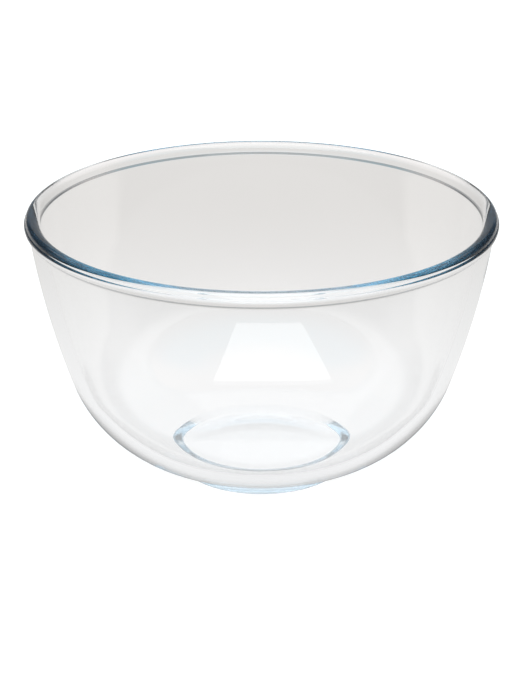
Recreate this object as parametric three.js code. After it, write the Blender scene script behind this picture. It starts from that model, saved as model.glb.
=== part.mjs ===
// Glass mixing bowl: one pressing of clear heat-resistant glass, divided into the zones of its section.
// Millimetres, +Z up. The origin is on the bowl's axis, at the level that the foot stands on.
// Every zone is a body of revolution, and neighbours share the same cut, so they meet face to face.

import * as THREE from 'three';

// The bowl as a whole
const rimRadius = 105;
const bowlHeight = 122;
const glassThickness = 5.6;

// The outer face of the side: a slightly bulging wall that runs into a rounder heel
const wallArcRadius = 367;
const heelRadius = 60.3;
const floorFlatRadius = 29.7;

// The bead round the rim: a small shoulder on its outside, and a lip set in above the shoulder
const beadRadius = 3.6;
const beadOverhang = 1.55;
const beadFilletRadius = 1.5;
const shoulderRadius = 1.2;
const lipRadius = 2.4;
const lipInset = 0.6;
const lipGrooveRadius = 0.4;

// The foot: a flat standing ring, an outer face that leans out to the heel, and a shallow dish inside
const footHeight = 5.8;
const standRadius = 37.2;
const standWidth = 4.7;
const footLean = THREE.MathUtils.degToRad(28);
const footCornerRadius = 1.8;
const footFilletRadius = 2;
const dishDepth = 1.2;

// Steps round the axis, and along each curve of the section
const turnSteps = 64;
const wallSteps = 5;
const heelSteps = 9;
const beadSteps = 6;
const shoulderSteps = 4;
const grooveSteps = 2;
const lipSteps = 5;
const crownSteps = 6;
const cornerSteps = 4;
const dishSteps = 4;

// Section geometry. A point of the section is (radius from the axis, height above the table).

function at(radius, height) {
  return new THREE.Vector2(radius, height);
}

// The point of a circle on the ray from its centre through a target.
function pointTowards(centre, radius, target) {
  return target.clone().sub(centre).setLength(radius).add(centre);
}

// Where two circles cross, on the right of the way from the first centre to the second.
function crossing(centreA, radiusA, centreB, radiusB) {
  const way = centreB.clone().sub(centreA);
  const distance = way.length();
  const along = (radiusA ** 2 - radiusB ** 2 + distance ** 2) / (2 * distance);
  const aside = Math.sqrt(radiusA ** 2 - along ** 2);
  way.normalize();
  const right = at(way.y, -way.x);
  return centreA.clone().addScaledVector(way, along).addScaledVector(right, aside);
}

// The shorter arc about a centre from one point to another, both included.
function arc(centre, start, end, steps) {
  const from = start.clone().sub(centre);
  const to = end.clone().sub(centre);
  const turn = Math.atan2(from.cross(to), from.dot(to));
  const points = Array.from(
    { length: steps },
    (_, i) => start.clone().rotateAround(centre, (turn * i) / steps),
  );
  return [...points, end.clone()];
}

// Centres of the bead, the heel and the wall. The wall's arc leaves the heel without a kink and passes
// the bead's height at the overhang.
const beadCentre = at(rimRadius - beadRadius, bowlHeight - beadRadius);
const heelCentre = at(floorFlatRadius, footHeight + heelRadius);
const wallUnderBead = at(rimRadius - beadOverhang, beadCentre.y);
const wallCentre = crossing(wallUnderBead, wallArcRadius, heelCentre, wallArcRadius - heelRadius);

// The inner face runs at one glass thickness from the outer one.
const innerWallRadius = wallArcRadius - glassThickness;
const innerHeelRadius = heelRadius - glassThickness;
const floorHeight = footHeight + glassThickness;

// The shoulder rounds off the bead's widest level, and a narrow groove parts it from the lip.
const shoulderCentre = at(rimRadius - shoulderRadius, beadCentre.y);
const lipCentre = at(rimRadius - lipInset - lipRadius, bowlHeight - lipRadius);
const grooveCentre = crossing(
  shoulderCentre,
  shoulderRadius + lipGrooveRadius,
  lipCentre,
  lipRadius + lipGrooveRadius,
);

// The crown closes the rim from the lip's top over to the inner face, touching both.
const lipTop = at(lipCentre.x, bowlHeight);
const topFromWall = lipTop.clone().sub(wallCentre);
const crownReach = 2 * (innerWallRadius + topFromWall.y);
const crownRadius = (topFromWall.lengthSq() - innerWallRadius ** 2) / crownReach;
const crownCentre = at(lipTop.x, bowlHeight - crownRadius);

// The inside corner under the bead.
const beadFilletCentre = crossing(
  wallCentre,
  wallArcRadius + beadFilletRadius,
  beadCentre,
  beadRadius + beadFilletRadius,
);

// The foot's outer face: the way up it, the way out of it, and the rounded corner that it rises from.
const faceUp = at(Math.sin(footLean), Math.cos(footLean));
const faceOut = at(Math.cos(footLean), -Math.sin(footLean));
const cornerCentre = at(standRadius, footCornerRadius);
const cornerEnd = cornerCentre.clone().addScaledVector(faceOut, footCornerRadius);

// The inside corner between the foot and the heel touches the leaning face and the heel's circle.
const filletPathStart = cornerEnd.clone().addScaledVector(faceOut, footFilletRadius);
const startFromHeel = filletPathStart.clone().sub(heelCentre);
const nearestOnPath = -startFromHeel.dot(faceUp);
const pathGapSquared = startFromHeel.lengthSq() - nearestOnPath ** 2;
const filletOnPath = nearestOnPath - Math.sqrt((heelRadius + footFilletRadius) ** 2 - pathGapSquared);
const footFilletCentre = filletPathStart.clone().addScaledVector(faceUp, filletOnPath);

// The cuts between zones run straight through the glass, square to its faces.
const rimCut = {
  outer: pointTowards(wallCentre, wallArcRadius, beadFilletCentre),
  inner: pointTowards(wallCentre, innerWallRadius, beadFilletCentre),
};
const heelTopCut = {
  outer: pointTowards(wallCentre, wallArcRadius, heelCentre),
  inner: pointTowards(wallCentre, innerWallRadius, heelCentre),
};
const heelFootCut = {
  outer: pointTowards(heelCentre, heelRadius, footFilletCentre),
  inner: pointTowards(heelCentre, innerHeelRadius, footFilletCentre),
};
const footCutOuter = footFilletCentre.clone().addScaledVector(faceOut, -footFilletRadius);
const footCut = {
  outer: footCutOuter,
  inner: at(standRadius - standWidth, footCutOuter.y),
};

// Outlines of the zones, each anticlockwise with the axis on its left.

function rimBeadOutline() {
  const beadStart = pointTowards(beadCentre, beadRadius, beadFilletCentre);
  const beadSide = at(rimRadius, beadCentre.y);
  const shoulderEnd = pointTowards(shoulderCentre, shoulderRadius, grooveCentre);
  const lipStart = pointTowards(lipCentre, lipRadius, grooveCentre);
  const crownEnd = pointTowards(wallCentre, innerWallRadius, crownCentre);
  return [
    rimCut.inner,
    ...arc(beadFilletCentre, rimCut.outer, beadStart, cornerSteps),
    ...arc(beadCentre, beadStart, beadSide, beadSteps).slice(1),
    ...arc(shoulderCentre, beadSide, shoulderEnd, shoulderSteps).slice(1),
    ...arc(grooveCentre, shoulderEnd, lipStart, grooveSteps).slice(1),
    ...arc(lipCentre, lipStart, lipTop, lipSteps).slice(1),
    ...arc(crownCentre, lipTop, crownEnd, crownSteps).slice(1),
    rimCut.inner,
  ];
}

function sideWallOutline() {
  return [
    heelTopCut.inner,
    ...arc(wallCentre, heelTopCut.outer, rimCut.outer, wallSteps),
    ...arc(wallCentre, rimCut.inner, heelTopCut.inner, wallSteps),
  ];
}

function heelOutline() {
  return [
    heelFootCut.inner,
    ...arc(heelCentre, heelFootCut.outer, heelTopCut.outer, heelSteps),
    ...arc(heelCentre, heelTopCut.inner, heelFootCut.inner, heelSteps),
  ];
}

function baseFloorOutline() {
  const dishTop = at(0, dishDepth);
  const dishEdge = at(footCut.inner.x, 0);
  const dishRadius = (dishEdge.x ** 2 + dishDepth ** 2) / (2 * dishDepth);
  const dishCentre = at(0, dishDepth - dishRadius);
  return [
    ...arc(dishCentre, dishTop, dishEdge, dishSteps),
    footCut.inner,
    ...arc(footFilletCentre, footCut.outer, heelFootCut.outer, cornerSteps),
    ...arc(heelCentre, heelFootCut.inner, at(floorFlatRadius, floorHeight), cornerSteps),
    at(0, floorHeight),
  ];
}

function footRingOutline() {
  const standInside = at(footCut.inner.x, 0);
  const standOutside = at(standRadius, 0);
  return [
    standInside,
    ...arc(cornerCentre, standOutside, cornerEnd, cornerSteps),
    footCut.outer,
    footCut.inner,
    standInside,
  ];
}

// One zone: its outline turned about the upright axis, in clear glass of the colour that it shows.
function zone(name, outline, colour) {
  const geometry = new THREE.LatheGeometry(outline, turnSteps);
  geometry.rotateX(Math.PI / 2);
  const material = new THREE.MeshStandardMaterial({
    color: colour,
    roughness: 0.04,
    metalness: 0,
    transparent: true,
    opacity: 0.4,
  });
  const mesh = new THREE.Mesh(geometry, material);
  mesh.name = name;
  return mesh;
}

// Seen edge on, the bead looks deep blue. The wall looks pale grey, and the thick base faintly blue.
const bowl = new THREE.Group();
bowl.add(
  zone('rim_bead', rimBeadOutline(), 0x2a7d99),
  zone('side_wall', sideWallOutline(), 0xe7e8e6),
  zone('heel', heelOutline(), 0xe6eaea),
  zone('base_floor', baseFloorOutline(), 0xf3f6f7),
  zone('foot_ring', footRingOutline(), 0xe2e9ec),
);

export default bowl;
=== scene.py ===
# Glass mixing bowl: one pressing of clear glass with a rolled rim bead, standing on a low foot.
# Metres, +Z up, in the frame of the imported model.

import math

import bpy
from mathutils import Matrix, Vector


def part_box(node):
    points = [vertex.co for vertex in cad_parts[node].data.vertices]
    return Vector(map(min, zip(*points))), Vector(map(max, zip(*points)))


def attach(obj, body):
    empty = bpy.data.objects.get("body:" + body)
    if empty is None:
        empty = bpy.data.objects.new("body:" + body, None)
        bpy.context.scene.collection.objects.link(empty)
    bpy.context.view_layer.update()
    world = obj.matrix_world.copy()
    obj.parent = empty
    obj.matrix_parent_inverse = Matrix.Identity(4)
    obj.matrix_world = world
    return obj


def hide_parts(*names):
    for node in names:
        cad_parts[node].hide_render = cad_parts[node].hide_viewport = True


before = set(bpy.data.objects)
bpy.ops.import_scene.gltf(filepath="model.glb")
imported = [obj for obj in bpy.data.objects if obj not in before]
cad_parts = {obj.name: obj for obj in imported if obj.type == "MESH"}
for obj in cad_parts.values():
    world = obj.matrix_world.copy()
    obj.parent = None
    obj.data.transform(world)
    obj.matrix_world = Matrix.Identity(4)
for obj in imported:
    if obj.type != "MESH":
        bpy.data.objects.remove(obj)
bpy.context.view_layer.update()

# The bowl as a whole, from the frame
RIM_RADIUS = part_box("rim_bead")[1].x
BOWL_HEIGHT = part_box("rim_bead")[1].z

# The section, as in the solids
GLASS_THICKNESS = 0.0056
WALL_ARC_RADIUS = 0.367
HEEL_RADIUS = 0.0603
FLOOR_FLAT_RADIUS = 0.0297
BEAD_RADIUS = 0.0036
BEAD_OVERHANG = 0.00155
BEAD_FILLET_RADIUS = 0.0015
SHOULDER_RADIUS = 0.0012
LIP_RADIUS = 0.0024
LIP_INSET = 0.0006
LIP_GROOVE_RADIUS = 0.0004
FOOT_HEIGHT = 0.0058
STAND_RADIUS = 0.0372
STAND_WIDTH = 0.0047
FOOT_CORNER_RADIUS = 0.0018
FOOT_FILLET_RADIUS = 0.002
FOOT_LEAN = math.radians(28.0)
DISH_DEPTH = 0.0012
INNER_WALL_RADIUS = WALL_ARC_RADIUS - GLASS_THICKNESS
FLOOR_HEIGHT = FOOT_HEIGHT + GLASS_THICKNESS

# Steps round the axis. Along the section, the widest steps by angle and by length, and the fewest in an arc.
TURN_STEPS = 288
STEP_ANGLE = math.radians(3.5)
STEP_LENGTH = 0.004
LEAST_ARC_STEPS = 3

# White, for what has no tint of its own
WHITE = (1.0, 1.0, 1.0, 1.0)

# Glass: clear across a wall and blue along the bead, faintly wavy from the mould, and dulled round the foot
GLASS_IOR = 1.47
GLASS_TINT = (0.0, 0.47, 0.75, 1.0)
GLASS_TINT_DENSITY = 2.0
POLISHED_ROUGHNESS = 0.0
FOOT_ROUGHNESS = 0.1
FOOT_POLISH_HEIGHTS = (0.0065, 0.0085)
FOOT_POLISH_RADII = (0.0368, 0.0376)
RIPPLE_SCALE = 35.0
RIPPLE_DEPTH = 0.0005
RIPPLE_STRENGTH = 0.15

# Camera, at the angle of the photograph
CAMERA_PLACE = Vector((0.0, -0.9252, 0.4394))
CAMERA_AIM = Vector((0.0004, 0.0, 0.0544))
CAMERA_LENS_MM = 113.29
CAMERA_SENSOR_MM = 36.0

# Stage: the floor as the camera sees it
STAGE_SIZE = 12.0
STAGE_GLOW = 0.82
STAGE_ALBEDO = 0.5
STAGE_DROP = 0.0002

# The pool of light that the glass sees on the floor: brightest under the bowl and shaded round the foot.
# Where the glass mirrors it, the floor is a little dimmer, and dim towards the camera and under the bowl.
POOL_NEAR = (1.05, 1.045, 1.045, 1.0)
POOL_FAR = (0.81, 0.79, 0.77, 1.0)
POOL_RADII = (0.0, 0.4)
POOL_FRONT = (-0.24, -0.02)
POOL_FRONT_DIM = 0.1
POOL_MIRRORED = 0.92
FOOT_SHADE_START = (0.034, 0.044)
FOOT_SHADE_END = (0.07, 0.105)
FOOT_SHADE_DIM = 0.03
MIRRORED_SHADE_PLACE = (0.0, 0.06, 0.0)
MIRRORED_SHADE_RADII = (0.09, 0.108)
MIRRORED_SHADE_DIM = 0.65

# The room that the glass sees, by height and by side. On the camera's side it goes from almost black low
# down, through blue, to pale overhead. Behind the bowl it goes from dark to pale. Its white parts are a
# sweep behind the bowl, a panel on either side and a low band all round.
FRONT_LOW = (0.002, 0.012, 0.025, 1.0)
FRONT_MIDDLE = (0.0, 0.62, 0.88, 1.0)
FRONT_HIGH = (0.85, 0.85, 0.85, 1.0)
FRONT_HEIGHTS = (0.45, 0.70, 0.85, 0.95)
BACK_LOW = (0.06, 0.06, 0.06, 1.0)
BACK_HIGH = (1.0, 0.88, 0.82, 1.0)
BACK_HEIGHTS = (0.45, 0.6)
FRONT_TO_BACK = (-0.05, 0.25)
SWEEP_BRIGHT = 0.85
SWEEP_DIM = 0.4
SWEEP_FOOT = (0.3, 0.5)
SWEEP_TOP = (0.664, 1.0)
SWEEP_SIDE = (0.85, 0.94)
PANEL_BRIGHT = 0.35
PANEL_SIDE = (0.7, 0.9)
PANEL_FRONT = (-0.15, 0.1)
BAND_BRIGHT = 0.2
BAND_TOP = (0.0, 0.2)

# The upper part of the room, paler for light that has crossed four faces of glass, as in the foot's ring
CROSSED_COLOUR = (0.92, 0.92, 0.92, 1.0)
CROSSED_FACES = (3.0, 4.0)
CROSSED_HEIGHTS = (0.2, 0.4)

# The soft box overhead, which shows as a bright patch on the front wall. What is seen of it through the
# glass is a dimmer box, a little higher, so that neither box hides the other.
OVERHEAD_PLACE = Vector((-0.11, -0.27, 1.1))
OVERHEAD_AIM = Vector((-0.11, 0.0, 0.06))
OVERHEAD_SIZE = (0.93, 1.4)
OVERHEAD_MIRRORED = 1.6
OVERHEAD_THROUGH = 0.6
OVERHEAD_GAP = 0.01

# Watts that a square metre of lamp takes to show with a brightness of 1
LAMP_WATTS = 4.0

# The most bounces that light may take in the glass
GLASS_BOUNCES = 64


# Section geometry. A point of the section is (radius from the axis, height above the table).

def at(radius, height):
    """A point of the section."""
    return Vector((radius, height))


def point_towards(centre, radius, target):
    """The point of a circle on the ray from its centre through a target."""
    return centre + (target - centre).normalized() * radius


def crossing(centre_a, radius_a, centre_b, radius_b):
    """Where two circles cross, on the right of the way from the first centre to the second."""
    way = centre_b - centre_a
    distance = way.length
    along = (radius_a ** 2 - radius_b ** 2 + distance ** 2) / (2 * distance)
    aside = math.sqrt(radius_a ** 2 - along ** 2)
    way.normalize()
    return centre_a + way * along + at(way.y, -way.x) * aside


def arc(centre, start, end):
    """Points of the shorter arc about a centre from one point to another, the last one left out."""
    spoke = start - centre
    last = end - centre
    turn = math.atan2(spoke.x * last.y - spoke.y * last.x, spoke.dot(last))
    by_angle = abs(turn) / STEP_ANGLE
    by_length = abs(turn) * spoke.length / STEP_LENGTH
    steps = max(LEAST_ARC_STEPS, math.ceil(max(by_angle, by_length)))
    points = []
    for step in range(steps):
        part = turn * step / steps
        cosine = math.cos(part)
        sine = math.sin(part)
        points.append(centre + at(spoke.x * cosine - spoke.y * sine, spoke.x * sine + spoke.y * cosine))
    return points


def line(start, end):
    """Points of a straight stretch, the last one left out."""
    steps = max(1, math.ceil((end - start).length / STEP_LENGTH))
    return [start.lerp(end, step / steps) for step in range(steps)]


def side_centres():
    """Centres of the bead, the heel and the wall. The wall's arc leaves the heel without a kink."""
    bead = at(RIM_RADIUS - BEAD_RADIUS, BOWL_HEIGHT - BEAD_RADIUS)
    heel = at(FLOOR_FLAT_RADIUS, FOOT_HEIGHT + HEEL_RADIUS)
    under_bead = at(RIM_RADIUS - BEAD_OVERHANG, bead.y)
    wall = crossing(under_bead, WALL_ARC_RADIUS, heel, WALL_ARC_RADIUS - HEEL_RADIUS)
    return bead, heel, wall


def dish_points(stand_inside):
    """The shallow dish under the floor, from the axis out to the inside of the standing ring."""
    radius = (stand_inside.x ** 2 + DISH_DEPTH ** 2) / (2 * DISH_DEPTH)
    centre = at(0.0, DISH_DEPTH - radius)
    return arc(centre, at(0.0, DISH_DEPTH), stand_inside)


def foot_points(heel_centre):
    """The underside and the foot, from the axis out to the heel, and the point where the heel starts."""
    face_up = at(math.sin(FOOT_LEAN), math.cos(FOOT_LEAN))
    face_out = at(math.cos(FOOT_LEAN), -math.sin(FOOT_LEAN))
    stand_inside = at(STAND_RADIUS - STAND_WIDTH, 0.0)
    corner = at(STAND_RADIUS, FOOT_CORNER_RADIUS)
    corner_start = at(corner.x, 0.0)
    corner_end = corner + face_out * FOOT_CORNER_RADIUS

    path_start = corner_end + face_out * FOOT_FILLET_RADIUS
    from_heel = path_start - heel_centre
    nearest = -from_heel.dot(face_up)
    reach = (HEEL_RADIUS + FOOT_FILLET_RADIUS) ** 2 - from_heel.length_squared + nearest ** 2
    fillet = path_start + face_up * (nearest - math.sqrt(reach))
    foot_top = fillet - face_out * FOOT_FILLET_RADIUS
    heel_start = point_towards(heel_centre, HEEL_RADIUS, fillet)
    points = [
        *dish_points(stand_inside),
        *line(stand_inside, corner_start),
        *arc(corner, corner_start, corner_end),
        *line(corner_end, foot_top),
        *arc(fillet, foot_top, heel_start),
    ]
    return points, heel_start


def bead_points(bead_centre, wall_centre):
    """The underside of the bead, from the top of the wall's outer face to the bead's widest point."""
    fillet = crossing(
        wall_centre, WALL_ARC_RADIUS + BEAD_FILLET_RADIUS, bead_centre, BEAD_RADIUS + BEAD_FILLET_RADIUS
    )
    wall_top = point_towards(wall_centre, WALL_ARC_RADIUS, fillet)
    bead_start = point_towards(bead_centre, BEAD_RADIUS, fillet)
    bead_side = at(RIM_RADIUS, bead_centre.y)
    points = [
        *arc(fillet, wall_top, bead_start),
        *arc(bead_centre, bead_start, bead_side),
    ]
    return points, wall_top, bead_side


def lip_points(bead_side, wall_centre):
    """The shoulder, the groove, the lip and the crown, from the bead's widest point to the inner face."""
    shoulder = at(RIM_RADIUS - SHOULDER_RADIUS, bead_side.y)
    lip = at(RIM_RADIUS - LIP_INSET - LIP_RADIUS, BOWL_HEIGHT - LIP_RADIUS)
    groove = crossing(shoulder, SHOULDER_RADIUS + LIP_GROOVE_RADIUS, lip, LIP_RADIUS + LIP_GROOVE_RADIUS)
    shoulder_end = point_towards(shoulder, SHOULDER_RADIUS, groove)
    lip_start = point_towards(lip, LIP_RADIUS, groove)

    lip_top = at(lip.x, BOWL_HEIGHT)
    from_wall = lip_top - wall_centre
    crown_reach = 2 * (INNER_WALL_RADIUS + from_wall.y)
    crown_radius = (from_wall.length_squared - INNER_WALL_RADIUS ** 2) / crown_reach
    crown = at(lip_top.x, BOWL_HEIGHT - crown_radius)
    inner_top = point_towards(wall_centre, INNER_WALL_RADIUS, crown)
    points = [
        *arc(shoulder, bead_side, shoulder_end),
        *arc(groove, shoulder_end, lip_start),
        *arc(lip, lip_start, lip_top),
        *arc(crown, lip_top, inner_top),
    ]
    return points, inner_top


def bowl_section():
    """The whole section, from the axis under the foot round the rim to the axis on the bowl's floor."""
    bead_centre, heel_centre, wall_centre = side_centres()
    foot, heel_start = foot_points(heel_centre)
    bead, wall_top, bead_side = bead_points(bead_centre, wall_centre)
    lip, inner_top = lip_points(bead_side, wall_centre)
    heel_top = point_towards(wall_centre, WALL_ARC_RADIUS, heel_centre)
    inner_heel_top = point_towards(wall_centre, INNER_WALL_RADIUS, heel_centre)
    floor_edge = at(FLOOR_FLAT_RADIUS, FLOOR_HEIGHT)
    floor_middle = at(0.0, FLOOR_HEIGHT)
    return [
        *foot,
        *arc(heel_centre, heel_start, heel_top),
        *arc(wall_centre, heel_top, wall_top),
        *bead,
        *lip,
        *arc(wall_centre, inner_top, inner_heel_top),
        *arc(heel_centre, inner_heel_top, floor_edge),
        *line(floor_edge, floor_middle),
        floor_middle,
    ]


def turned_mesh(name, section):
    """A closed mesh: a section that starts and ends on the axis, turned about it."""
    rings = section[1:-1]
    points = [(0.0, 0.0, section[0].y)]
    for ring in rings:
        for step in range(TURN_STEPS):
            angle = 2 * math.pi * step / TURN_STEPS
            points.append((ring.x * math.cos(angle), ring.x * math.sin(angle), ring.y))
    points.append((0.0, 0.0, section[-1].y))
    last = len(points) - 1

    faces = []
    for step in range(TURN_STEPS):
        beside = (step + 1) % TURN_STEPS
        faces.append((0, 1 + beside, 1 + step))
        for ring in range(len(rings) - 1):
            low = 1 + ring * TURN_STEPS
            high = low + TURN_STEPS
            faces.append((low + step, low + beside, high + beside, high + step))
        top = 1 + (len(rings) - 1) * TURN_STEPS
        faces.append((top + step, top + beside, last))

    mesh = bpy.data.meshes.new(name)
    mesh.from_pydata(points, [], faces)
    mesh.shade_smooth()
    return mesh


def fade(tree, value, start, end, near, far):
    """A node that goes smoothly from one number to another as a value goes from start to end."""
    node = tree.nodes.new("ShaderNodeMapRange")
    node.interpolation_type = "SMOOTHSTEP"
    node.inputs["From Min"].default_value = start
    node.inputs["From Max"].default_value = end
    node.inputs["To Min"].default_value = near
    node.inputs["To Max"].default_value = far
    tree.links.new(value, node.inputs["Value"])
    return node.outputs["Result"]


def mix_numbers(tree, operation, first, second):
    """A node that joins two numbers by one operation."""
    node = tree.nodes.new("ShaderNodeMath")
    node.operation = operation
    tree.links.new(first, node.inputs[0])
    tree.links.new(second, node.inputs[1])
    return node.outputs["Value"]


def mix_colours(tree, factor, first, second):
    """A node that goes from one colour to another. Each is a fixed colour or another node's output."""
    node = tree.nodes.new("ShaderNodeMix")
    node.data_type = "RGBA"
    tree.links.new(factor, node.inputs["Factor"])
    for name, colour in (("A", first), ("B", second)):
        if isinstance(colour, tuple):
            node.inputs[name].default_value = colour
        else:
            tree.links.new(colour, node.inputs[name])
    return node.outputs["Result"]


def blend_numbers(tree, factor, first, second):
    """A node that goes from one number to another. The first is a fixed number or another node's output."""
    node = tree.nodes.new("ShaderNodeMix")
    tree.links.new(factor, node.inputs["Factor"])
    if isinstance(first, float):
        node.inputs["A"].default_value = first
    else:
        tree.links.new(first, node.inputs["A"])
    tree.links.new(second, node.inputs["B"])
    return node.outputs["Result"]


def vector_length(tree, vector):
    """A node that measures how long a vector is."""
    node = tree.nodes.new("ShaderNodeVectorMath")
    node.operation = "LENGTH"
    tree.links.new(vector, node.inputs[0])
    return node.outputs["Value"]


def split_vector(tree, vector):
    """A node that gives a vector's parts along X, Y and Z."""
    node = tree.nodes.new("ShaderNodeSeparateXYZ")
    tree.links.new(vector, node.inputs["Vector"])
    return node.outputs


def mix_shaders(tree, factor, first, second):
    """A node that goes from one shader to another."""
    node = tree.nodes.new("ShaderNodeMixShader")
    tree.links.new(factor, node.inputs["Fac"])
    tree.links.new(first, node.inputs[1])
    tree.links.new(second, node.inputs[2])
    return node.outputs["Shader"]


def foot_roughness(tree, place):
    """Polished glass, a little dull on the outer face of the foot."""
    flat = tree.nodes.new("ShaderNodeVectorMath")
    flat.operation = "MULTIPLY"
    flat.inputs[1].default_value = (1.0, 1.0, 0.0)
    tree.links.new(place, flat.inputs[0])
    height = split_vector(tree, place)["Z"]
    radius = vector_length(tree, flat.outputs["Vector"])
    low = fade(tree, height, *FOOT_POLISH_HEIGHTS, FOOT_ROUGHNESS, POLISHED_ROUGHNESS)
    outside = fade(tree, radius, *FOOT_POLISH_RADII, 0.0, 1.0)
    return mix_numbers(tree, "MULTIPLY", low, outside)


def ripple(tree, place):
    """The faint waviness that a mould leaves in pressed glass."""
    noise = tree.nodes.new("ShaderNodeTexNoise")
    noise.inputs["Scale"].default_value = RIPPLE_SCALE
    noise.inputs["Detail"].default_value = 0.0
    tree.links.new(place, noise.inputs["Vector"])
    relief = tree.nodes.new("ShaderNodeBump")
    relief.inputs["Strength"].default_value = RIPPLE_STRENGTH
    relief.inputs["Distance"].default_value = RIPPLE_DEPTH
    tree.links.new(noise.outputs["Fac"], relief.inputs["Height"])
    return relief.outputs["Normal"]


def glass_material():
    """Clear glass, almost colourless across a wall and blue along the bead."""
    material = bpy.data.materials.new("clear_glass")
    material.use_nodes = True
    tree = material.node_tree
    place = tree.nodes.new("ShaderNodeTexCoord").outputs["Object"]
    shader = tree.nodes["Principled BSDF"]
    shader.inputs["Base Color"].default_value = WHITE
    shader.inputs["IOR"].default_value = GLASS_IOR
    shader.inputs["Transmission Weight"].default_value = 1.0
    tree.links.new(foot_roughness(tree, place), shader.inputs["Roughness"])
    tree.links.new(ripple(tree, place), shader.inputs["Normal"])
    tint = tree.nodes.new("ShaderNodeVolumeAbsorption")
    tint.inputs["Color"].default_value = GLASS_TINT
    tint.inputs["Density"].default_value = GLASS_TINT_DENSITY
    tree.links.new(tint.outputs["Volume"], tree.nodes["Material Output"].inputs["Volume"])
    return material


def make_bowl():
    """The bowl, one piece of glass."""
    mesh = turned_mesh("glass_bowl", bowl_section())
    mesh.materials.append(glass_material())
    bowl = bpy.data.objects.new("glass_bowl", mesh)
    bpy.context.scene.collection.objects.link(bowl)
    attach(bowl, "root")
    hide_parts("rim_bead", "side_wall", "heel", "base_floor", "foot_ring")


def floor_shade(tree, place, distance, mirrored):
    """How much the floor is shaded near the bowl: round the foot, or under the bowl where it is mirrored."""
    into_shade = fade(tree, distance, *FOOT_SHADE_START, 0.0, FOOT_SHADE_DIM)
    out_of_shade = fade(tree, distance, *FOOT_SHADE_END, FOOT_SHADE_DIM, 0.0)
    round_foot = mix_numbers(tree, "MINIMUM", into_shade, out_of_shade)
    apart = tree.nodes.new("ShaderNodeVectorMath")
    apart.operation = "DISTANCE"
    apart.inputs[1].default_value = MIRRORED_SHADE_PLACE
    tree.links.new(place, apart.inputs[0])
    under_bowl = fade(tree, apart.outputs["Value"], *MIRRORED_SHADE_RADII, MIRRORED_SHADE_DIM, 0.0)
    return blend_numbers(tree, mirrored, round_foot, under_bowl)


def floor_pool(tree, ray):
    """The floor as the glass sees it: a pool of light that fades with distance."""
    place = tree.nodes.new("ShaderNodeTexCoord").outputs["Object"]
    distance = vector_length(tree, place)
    colour = mix_colours(tree, fade(tree, distance, *POOL_RADII, 0.0, 1.0), POOL_NEAR, POOL_FAR)
    mirrored = ray["Glossy Depth"]
    front = fade(tree, split_vector(tree, place)["Y"], *POOL_FRONT, POOL_FRONT_DIM, POOL_MIRRORED)
    towards_camera = blend_numbers(tree, mirrored, 1.0, front)
    unshaded = tree.nodes.new("ShaderNodeMath")
    unshaded.operation = "SUBTRACT"
    unshaded.inputs[0].default_value = 1.0
    tree.links.new(floor_shade(tree, place, distance, mirrored), unshaded.inputs[1])
    pool = tree.nodes.new("ShaderNodeEmission")
    tree.links.new(colour, pool.inputs["Color"])
    strength = mix_numbers(tree, "MULTIPLY", towards_camera, unshaded.outputs["Value"])
    tree.links.new(strength, pool.inputs["Strength"])
    return pool.outputs["Emission"]


def floor_material():
    """White to the camera, with the bowl's shadow. In the glass, a pool of light."""
    material = bpy.data.materials.new("stage_floor")
    material.use_nodes = True
    tree = material.node_tree
    tree.nodes.remove(tree.nodes["Principled BSDF"])
    ray = tree.nodes.new("ShaderNodeLightPath").outputs
    glow = tree.nodes.new("ShaderNodeEmission")
    glow.inputs["Strength"].default_value = STAGE_GLOW
    matt = tree.nodes.new("ShaderNodeBsdfDiffuse")
    matt.inputs["Color"].default_value = (STAGE_ALBEDO, STAGE_ALBEDO, STAGE_ALBEDO, 1.0)
    white = tree.nodes.new("ShaderNodeAddShader")
    tree.links.new(glow.outputs["Emission"], white.inputs[0])
    tree.links.new(matt.outputs["BSDF"], white.inputs[1])
    by_glass = mix_numbers(tree, "MAXIMUM", ray["Is Transmission Ray"], ray["Is Glossy Ray"])
    unseen = mix_shaders(tree, by_glass, matt.outputs["BSDF"], floor_pool(tree, ray))
    shader = mix_shaders(tree, ray["Is Camera Ray"], unseen, white.outputs["Shader"])
    tree.links.new(shader, tree.nodes["Material Output"].inputs["Surface"])
    return material


def make_floor():
    """A wide plain floor just under the bowl."""
    half = STAGE_SIZE / 2
    corners = [(-half, -half, 0.0), (half, -half, 0.0), (half, half, 0.0), (-half, half, 0.0)]
    mesh = bpy.data.meshes.new("stage_floor")
    mesh.from_pydata(corners, [], [(0, 1, 2, 3)])
    mesh.materials.append(floor_material())
    floor = bpy.data.objects.new("stage_floor", mesh)
    floor.location.z = -STAGE_DROP
    bpy.context.scene.collection.objects.link(floor)


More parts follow.
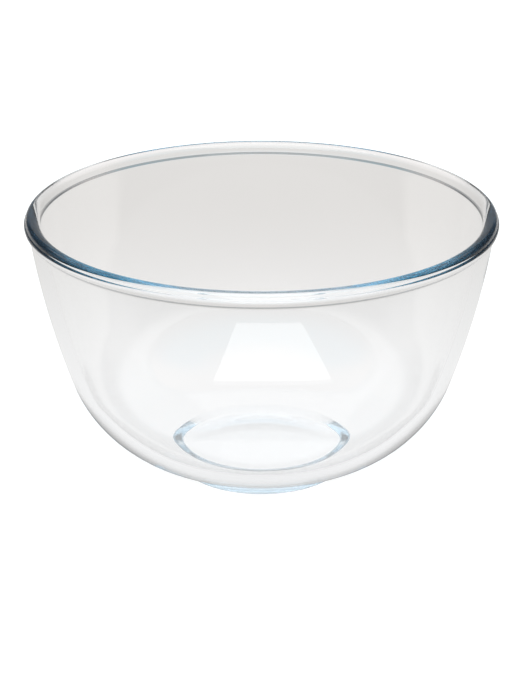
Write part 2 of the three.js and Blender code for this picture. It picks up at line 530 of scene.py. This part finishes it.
def room_colour(tree, direction, ray):
    """The room's own colour in a direction, by height and side, and paler beyond four faces of glass."""
    by_height = tree.nodes.new("ShaderNodeValToRGB")
    low_top, middle_start, middle_end, high_start = FRONT_HEIGHTS
    stops = by_height.color_ramp.elements
    stops[0].position = low_top
    stops[0].color = FRONT_LOW
    stops[1].position = high_start
    stops[1].color = FRONT_HIGH
    stops.new(middle_start).color = FRONT_MIDDLE
    stops.new(middle_end).color = FRONT_MIDDLE
    tree.links.new(direction["Z"], by_height.inputs["Fac"])
    behind = mix_colours(tree, fade(tree, direction["Z"], *BACK_HEIGHTS, 0.0, 1.0), BACK_LOW, BACK_HIGH)
    to_back = fade(tree, direction["Y"], *FRONT_TO_BACK, 0.0, 1.0)
    room = mix_colours(tree, to_back, by_height.outputs["Color"], behind)
    crossed = fade(tree, ray["Transmission Depth"], *CROSSED_FACES, 0.0, 1.0)
    above = fade(tree, direction["Z"], *CROSSED_HEIGHTS, 0.0, 1.0)
    return mix_colours(tree, mix_numbers(tree, "MULTIPLY", crossed, above), room, CROSSED_COLOUR)


def white_parts(tree, direction):
    """Brightness of the white parts of the room: the band, the two panels and the sweep."""
    across = tree.nodes.new("ShaderNodeMath")
    across.operation = "ABSOLUTE"
    tree.links.new(direction["X"], across.inputs[0])
    band = fade(tree, direction["Z"], *BAND_TOP, BAND_BRIGHT, 0.0)
    panel_side = fade(tree, across.outputs["Value"], *PANEL_SIDE, 0.0, PANEL_BRIGHT)
    panel_front = fade(tree, direction["Y"], *PANEL_FRONT, 0.0, 1.0)
    panels = mix_numbers(tree, "MULTIPLY", panel_side, panel_front)
    sweep_foot = fade(tree, direction["Z"], *SWEEP_FOOT, SWEEP_DIM, SWEEP_BRIGHT)
    sweep_top = fade(tree, direction["Z"], *SWEEP_TOP, 1.0, 0.0)
    sweep_side = fade(tree, direction["Y"], *SWEEP_SIDE, 0.0, 1.0)
    sweep_height = mix_numbers(tree, "MULTIPLY", sweep_foot, sweep_top)
    sweep = mix_numbers(tree, "MULTIPLY", sweep_height, sweep_side)
    return mix_numbers(tree, "MAXIMUM", mix_numbers(tree, "MAXIMUM", band, panels), sweep)


def make_world():
    """White to the camera. In the glass, the room and its white parts, whichever is lighter."""
    world = bpy.data.worlds.new("studio")
    bpy.context.scene.world = world
    world.use_nodes = True
    tree = world.node_tree
    direction = split_vector(tree, tree.nodes.new("ShaderNodeTexCoord").outputs["Generated"])
    ray = tree.nodes.new("ShaderNodeLightPath").outputs
    lighter = tree.nodes.new("ShaderNodeVectorMath")
    lighter.operation = "MAXIMUM"
    tree.links.new(room_colour(tree, direction, ray), lighter.inputs[0])
    tree.links.new(white_parts(tree, direction), lighter.inputs[1])
    colour = mix_colours(tree, ray["Is Camera Ray"], lighter.outputs["Vector"], WHITE)
    tree.links.new(colour, tree.nodes["Background"].inputs["Color"])


def soft_box(name, place, size, radiance, aim):
    """A rectangular lamp of even brightness that faces a point."""
    light = bpy.data.lights.new(name, "AREA")
    light.shape = "RECTANGLE"
    light.size = size[0]
    light.size_y = size[1]
    light.energy = radiance * LAMP_WATTS * size[0] * size[1]
    lamp = bpy.data.objects.new(name, light)
    lamp.location = place
    lamp.rotation_mode = "QUATERNION"
    lamp.rotation_quaternion = (aim - place).to_track_quat("-Z", "Y")
    lamp.visible_camera = False
    bpy.context.scene.collection.objects.link(lamp)
    return lamp


def make_lights():
    """The overhead box, once for what mirrors it and once for what is seen of it through the glass."""
    mirrored = soft_box("overhead_box", OVERHEAD_PLACE, OVERHEAD_SIZE, OVERHEAD_MIRRORED, OVERHEAD_AIM)
    mirrored.visible_transmission = False
    higher = OVERHEAD_PLACE + Vector((0.0, 0.0, OVERHEAD_GAP))
    through = soft_box("overhead_glow", higher, OVERHEAD_SIZE, OVERHEAD_THROUGH, OVERHEAD_AIM)
    through.visible_glossy = False
    through.visible_diffuse = False


def make_camera():
    """The camera of the photograph."""
    data = bpy.data.cameras.new("camera")
    data.sensor_width = CAMERA_SENSOR_MM
    data.lens = CAMERA_LENS_MM
    camera = bpy.data.objects.new("camera", data)
    camera.location = CAMERA_PLACE
    camera.rotation_mode = "QUATERNION"
    camera.rotation_quaternion = (CAMERA_AIM - CAMERA_PLACE).to_track_quat("-Z", "Y")
    bpy.context.scene.collection.objects.link(camera)
    bpy.context.scene.camera = camera


def set_render():
    """Plain colours, and light that follows the glass as far as it goes."""
    scene = bpy.context.scene
    scene.view_settings.view_transform = "Standard"
    scene.cycles.max_bounces = GLASS_BOUNCES
    scene.cycles.transmission_bounces = GLASS_BOUNCES
    scene.cycles.glossy_bounces = GLASS_BOUNCES


make_bowl()
make_floor()
make_world()
make_lights()
make_camera()
set_render()
